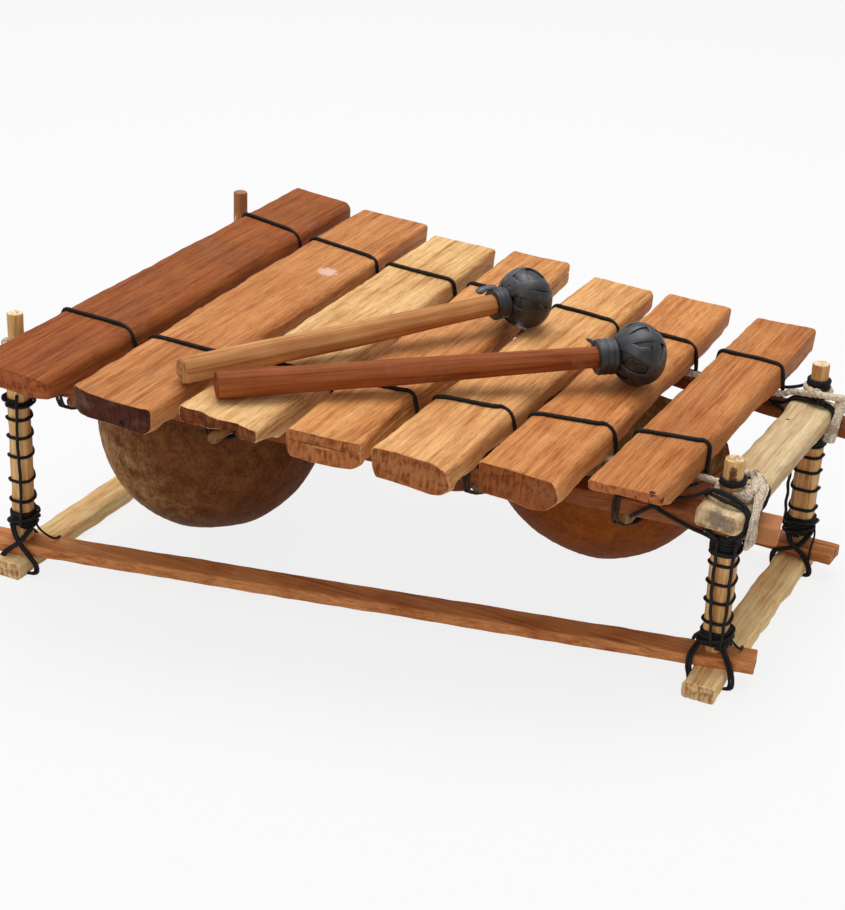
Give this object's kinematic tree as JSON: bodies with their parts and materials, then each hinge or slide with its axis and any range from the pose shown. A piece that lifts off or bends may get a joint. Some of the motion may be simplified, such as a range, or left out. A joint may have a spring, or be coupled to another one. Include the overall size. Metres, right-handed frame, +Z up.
{
  "type": "balafon",
  "caption": "Small tabletop balafon: wooden keys on ropes over gourd resonators in a lashed pole frame, with two rubber-headed mallets.",
  "frame": {"origin": "middle of the bounding box on the floor that the sleepers stand on", "axes": "+X along the frame to the treble end, +Y away from the player along the keys, +Z up"},
  "size_m": [0.5084, 0.391, 0.2001],
  "materials": {
    "hewn_wood": "bare pale hewn wood",
    "post_wood": "whittled bare wood",
    "rail_wood": "reddish brown sawn wood",
    "key_dark": "dark red-brown hardwood, worn",
    "key_red": "red-brown hardwood, worn",
    "key_pale": "pale yellow wood, worn",
    "key_gold": "golden brown wood with darker streaks",
    "gourd_shell": "mottled dried gourd skin, satin",
    "rope": "twisted off-white cotton rope",
    "lashing_cord": "black twisted cord",
    "stick_wood": "whittled red-brown stick",
    "head_rubber": "wound strips of black rubber"
  },
  "bodies": {
    "frame": {"sleeper_left": "hewn_wood", "sleeper_right": "hewn_wood", "crossbar_left": "hewn_wood", "crossbar_right": "hewn_wood", "hanger_stick_1": "hewn_wood", "hanger_stick_2": "hewn_wood", "hanger_stick_3": "hewn_wood", "hanger_stick_4": "hewn_wood", "hanger_stick_5": "hewn_wood", "post_front_left": "post_wood", "post_front_right": "post_wood", "post_back_left": "post_wood", "post_back_right": "post_wood", "lower_rail_front": "rail_wood", "lower_rail_back": "rail_wood", "upper_rail_front": "rail_wood", "upper_rail_back": "rail_wood", "gourd_left": "gourd_shell", "gourd_middle": "gourd_shell", "gourd_right": "gourd_shell", "support_rope_front": "rope", "support_rope_back": "rope", "post_lashing_front_left": "lashing_cord", "post_lashing_front_right": "lashing_cord", "post_lashing_back_left": "lashing_cord", "post_lashing_back_right": "lashing_cord", "bar_lashing_front_left": "lashing_cord", "bar_lashing_front_right": "lashing_cord", "bar_lashing_back_left": "lashing_cord", "bar_lashing_back_right": "lashing_cord", "peg_band_front_right": "lashing_cord", "peg_band_back_right": "lashing_cord", "key_cord_front": "lashing_cord", "key_cord_back": "lashing_cord", "hanger_tie_1_front": "lashing_cord", "hanger_tie_1_back": "lashing_cord", "hanger_tie_2_front": "lashing_cord", "hanger_tie_2_back": "lashing_cord", "hanger_tie_3_front": "lashing_cord", "hanger_tie_3_back": "lashing_cord", "hanger_tie_4_front": "lashing_cord", "hanger_tie_4_back": "lashing_cord", "hanger_tie_5_front": "lashing_cord", "hanger_tie_5_back": "lashing_cord"},
    "key_1": {"key_1": "key_dark"},
    "key_2": {"key_2": "key_red"},
    "key_3": {"key_3": "key_pale"},
    "key_4": {"key_4": "key_gold"},
    "key_5": {"key_5": "key_gold"},
    "key_6": {"key_6": "key_gold"},
    "key_7": {"key_7": "key_red"},
    "mallet_1": {"mallet_stick_1": "stick_wood", "mallet_head_1": "head_rubber", "mallet_binding_1": "head_rubber"},
    "mallet_2": {"mallet_stick_2": "stick_wood", "mallet_head_2": "head_rubber", "mallet_binding_2": "head_rubber"}
  },
  "joints": [
    {"name": "key_1_slide", "type": "slide", "parent": "frame", "child": "key_1", "axis": [0.0077, 1, -0.0005], "range_m": [-0.004, 0.004]},
    {"name": "key_2_slide", "type": "slide", "parent": "frame", "child": "key_2", "axis": [-0.0112, 0.9999, 0.0007], "range_m": [-0.004, 0.004]},
    {"name": "key_3_slide", "type": "slide", "parent": "frame", "child": "key_3", "axis": [-0.0142, 0.9999, 0.0009], "range_m": [-0.004, 0.004]},
    {"name": "key_4_slide", "type": "slide", "parent": "frame", "child": "key_4", "axis": [-0.0288, 0.9996, 0.0019], "range_m": [-0.004, 0.004]},
    {"name": "key_5_slide", "type": "slide", "parent": "frame", "child": "key_5", "axis": [0.0075, 1, -0.0005], "range_m": [-0.004, 0.004]},
    {"name": "key_6_slide", "type": "slide", "parent": "frame", "child": "key_6", "axis": [-0.0047, 1, 0.0003], "range_m": [-0.004, 0.004]},
    {"name": "key_7_slide", "type": "slide", "parent": "frame", "child": "key_7", "axis": [0.0151, 0.9999, -0.001], "range_m": [-0.004, 0.004]},
    {"name": "mallet_1_lift", "type": "slide", "parent": "frame", "child": "mallet_1", "axis": [0, 0, 1], "range_m": [0, 0.12]},
    {"name": "mallet_2_lift", "type": "slide", "parent": "frame", "child": "mallet_2", "axis": [0, 0, 1], "range_m": [0, 0.12]}
  ]
}
